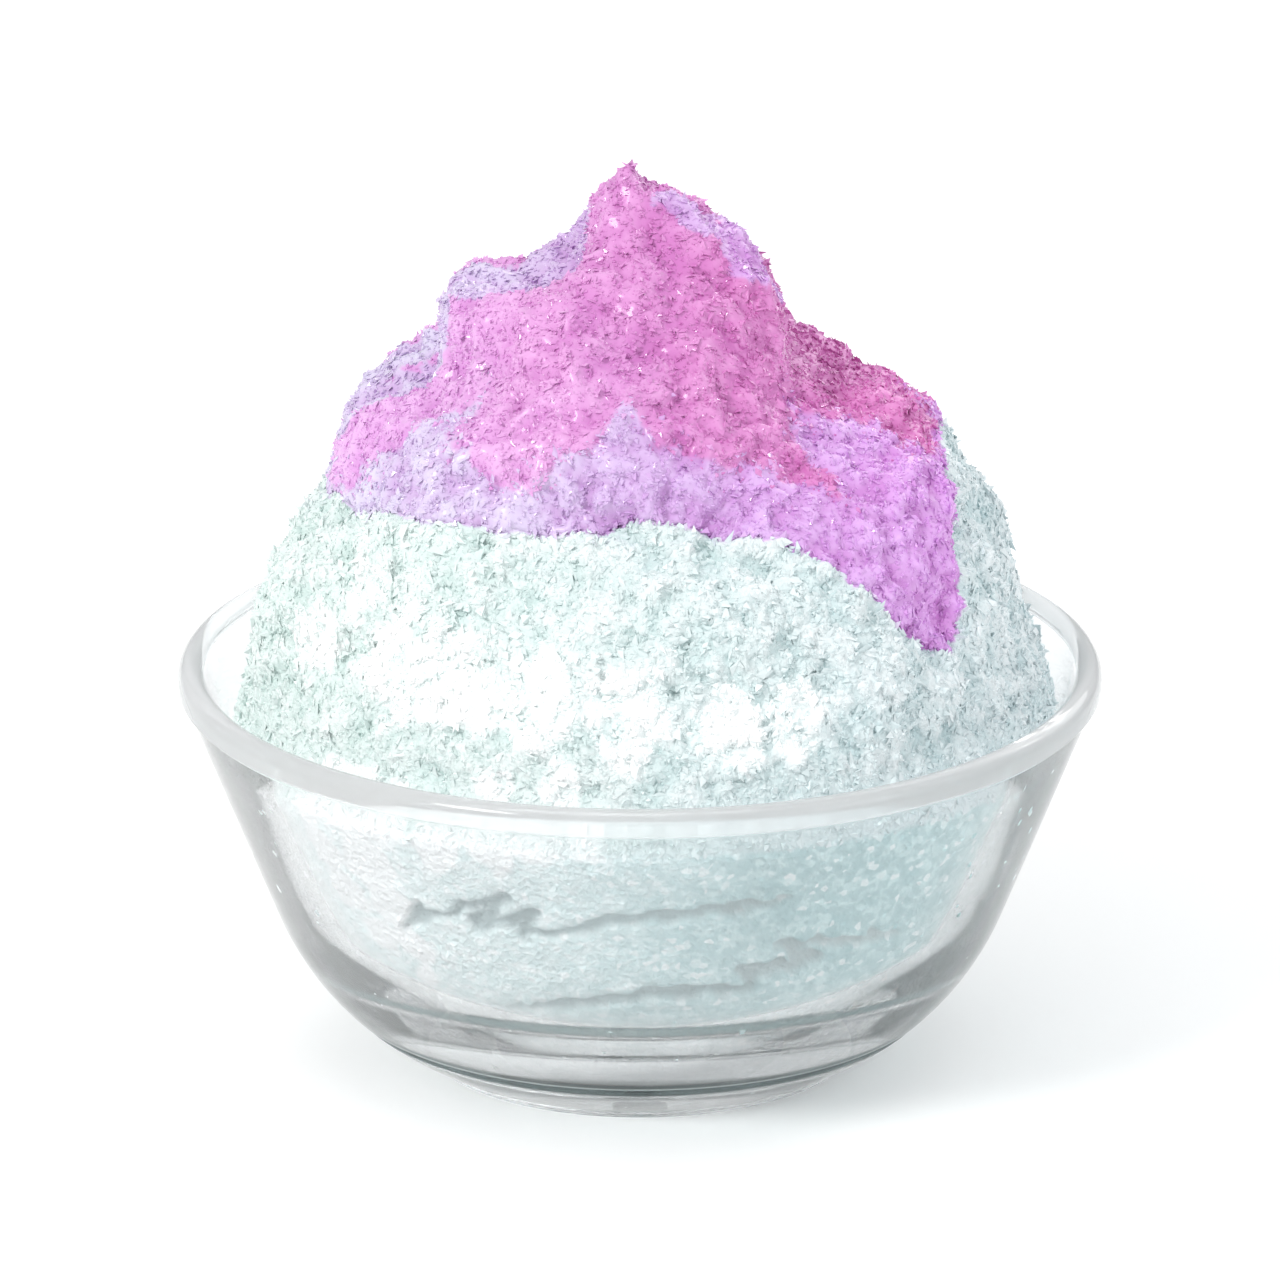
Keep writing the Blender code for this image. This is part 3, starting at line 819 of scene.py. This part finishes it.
def scatter(name, forms, heap, weight, count, lengths, tilt, sink, material, rng):
    """Many small closed shapes on the heap, as one piece; a shape sinks in by a share of its length."""
    points, outward, faces, numbers = heap
    chosen, shares = spread_over(points, faces, weight, count, rng)
    place = (points[faces[chosen]] * shares[..., None]).sum(axis=1)
    up = (outward[faces[chosen]] * shares[..., None]).sum(axis=1)
    up += rng.normal(0, tilt, up.shape)
    up /= np.linalg.norm(up, axis=1)[:, None]
    side = np.cross(up, rng.normal(0, 1, up.shape))
    side /= np.linalg.norm(side, axis=1)[:, None]
    turn = np.stack((side, np.cross(up, side), up), axis=1)
    # Short crystals are the most common.
    size = lengths[0] * (lengths[1] / lengths[0]) ** (rng.uniform(0, 1, count) ** 1.6) * MM
    shapes = np.array([forms[i] for i in rng.integers(0, len(forms), count)]) * size[:, None, None]
    made = np.einsum("nij,njk->nik", shapes, turn) + (place - up * (sink * size)[:, None])[:, None]
    corners = len(forms[0])
    triangles = (crystal_faces()[None] + (np.arange(count) * corners)[:, None, None]).reshape(-1, 3)
    local = {key: (values[faces[chosen]] * shares).sum(axis=1) for key, values in numbers.items()}
    local["syrup"] = syrup_strength(local["edge"] + rng.normal(0, STRAY_EDGE, count),
                                    local["above"] + rng.normal(0, STRAY_ABOVE, count))
    # Crystals stand out of the hollows that they lie in, so take less of their painted shade, and differ
    # in tone.
    local["hollow"] = local["hollow"] * 0.6 + rng.uniform(-0.1, 0.35, count)
    values = {key: np.repeat(local[key], corners) for key in MATERIAL_NUMBERS}
    piece = mesh_piece(name, made.reshape(-1, 3), triangles.tolist(), material, **values)
    piece.data.shade_flat()


def scattered_ice(base, outward, relief, faces, numbers, white, pink):
    """Flakes and grains, white and pink, wherever the heap is clear of the glass."""
    rng = np.random.default_rng(SEED)
    heap = (base + outward * relief[:, None], outward, faces, numbers)
    bare = 1 - smooth_step(0.05, 0.6, numbers["packed"])
    edge = numbers["edge"]
    white_share = bare * (1 - smooth_step(SYRUP_EDGE - 0.06, SYRUP_EDGE + 0.03, edge))
    pink_share = bare * smooth_step(SYRUP_EDGE - 0.1, SYRUP_EDGE, edge)
    flakes = [crystal_form(rng, FLAKE_AXES) for _ in range(CRYSTAL_FORMS)]
    grains = [crystal_form(rng, GRAIN_AXES) for _ in range(CRYSTAL_FORMS)]
    for colour, weight, material, slot, amount, fineness in (
            ("white", white_share, white, "white_ice", 1.0, 1.0),
            ("pink", pink_share, pink, "pink_ice", PINK_AMOUNT, PINK_FINENESS)):
        share = weight[faces].mean(axis=1)
        scatter(f"{colour}_flakes", flakes, heap, share, int(FLAKE_COUNT * amount),
                np.array(FLAKE_LENGTHS) * fineness, FLAKE_TILT, FLAKE_SINK, material, rng)
        scatter(f"{colour}_grains", grains, heap, share, int(GRAIN_COUNT * amount),
                np.array(GRAIN_LENGTHS) * fineness, GRAIN_TILT, GRAIN_SINK, material, rng)


# Studio


def studio_floor():
    bpy.ops.mesh.primitive_plane_add(size=8)
    floor = bpy.context.object
    floor.name = "floor"
    made, _, shader = new_material("pale_floor")
    shader.inputs["Base Color"].default_value = FLOOR_GREY
    shader.inputs["Roughness"].default_value = 0.9
    shader.inputs["Emission Color"].default_value = (1, 1, 1, 1)
    shader.inputs["Emission Strength"].default_value = FLOOR_GLOW
    floor.data.materials.append(made)


def studio_world():
    """A bright sky over a darker band at eye level, for a little shade in the edges of the glass."""
    world = bpy.data.worlds.new("studio")
    bpy.context.scene.world = world
    world.use_nodes = True
    tree = world.node_tree
    place = link_node(tree, "ShaderNodeTexCoord").outputs["Generated"]
    up = link_node(tree, "ShaderNodeSeparateXYZ", i0=place).outputs["Z"]
    sky = ramp(tree, up, SKY_STOPS)
    tree.links.new(sky, tree.nodes["Background"].inputs["Color"])
    tree.nodes["Background"].inputs["Strength"].default_value = SKY_STRENGTH


def area_light(name, place, size, energy, colour):
    """A round lamp that faces the dessert."""
    light = bpy.data.lights.new(name, "AREA")
    light.shape = "DISK"
    light.size = size
    light.energy = energy
    light.color = colour
    lamp = bpy.data.objects.new(name, light)
    lamp.location = place
    lamp.rotation_euler = (VIEW_AIM - Vector(place)).to_track_quat("-Z", "Y").to_euler()
    bpy.context.scene.collection.objects.link(lamp)


def camera():
    """The camera looks from the front, with the lens that fits the view's width."""
    made = bpy.data.cameras.new("camera")
    made.sensor_width = 36
    made.lens = made.sensor_width * VIEW_DISTANCE / VIEW_WIDTH
    eye = bpy.data.objects.new("camera", made)
    back = Vector((0, -math.cos(VIEW_ELEVATION), math.sin(VIEW_ELEVATION)))
    eye.location = VIEW_AIM + back * VIEW_DISTANCE
    eye.rotation_euler = (math.pi / 2 - VIEW_ELEVATION, 0, 0)
    bpy.context.scene.collection.objects.link(eye)
    bpy.context.scene.camera = eye


def corners(bounds):
    """A box's two corners as plain lists."""
    return [list(corner) for corner in bounds]


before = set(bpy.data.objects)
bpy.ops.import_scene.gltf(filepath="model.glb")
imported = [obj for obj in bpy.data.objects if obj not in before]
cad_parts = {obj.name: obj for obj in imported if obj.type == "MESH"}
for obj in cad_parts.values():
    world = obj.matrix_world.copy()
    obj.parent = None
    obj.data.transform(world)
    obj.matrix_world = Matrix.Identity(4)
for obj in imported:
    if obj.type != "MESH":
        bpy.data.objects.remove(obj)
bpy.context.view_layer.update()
# Noise vectors start from a seed, which is otherwise taken from the clock.
noise.seed_set(SEED)

glass_bowl()
white = ice_material("heaped_ice", roughness=0.45, wetness=0.0, packed=True)
pink = ice_material("soaked_ice", roughness=0.25, wetness=0.3)
white_chip = ice_material("loose_ice", roughness=0.22, wetness=0.0)
pink_chip = ice_material("loose_soaked_ice", roughness=0.15, wetness=0.5)
surface = heap_surface(heap_fields())
white_heap(*surface, white)
syrup_layer(*surface, pink)
scattered_ice(*surface, white_chip, pink_chip)

studio_floor()
studio_world()
for settings in LAMPS:
    area_light(*settings)
camera()
scene = bpy.context.scene
scene.view_settings.view_transform = "Standard"
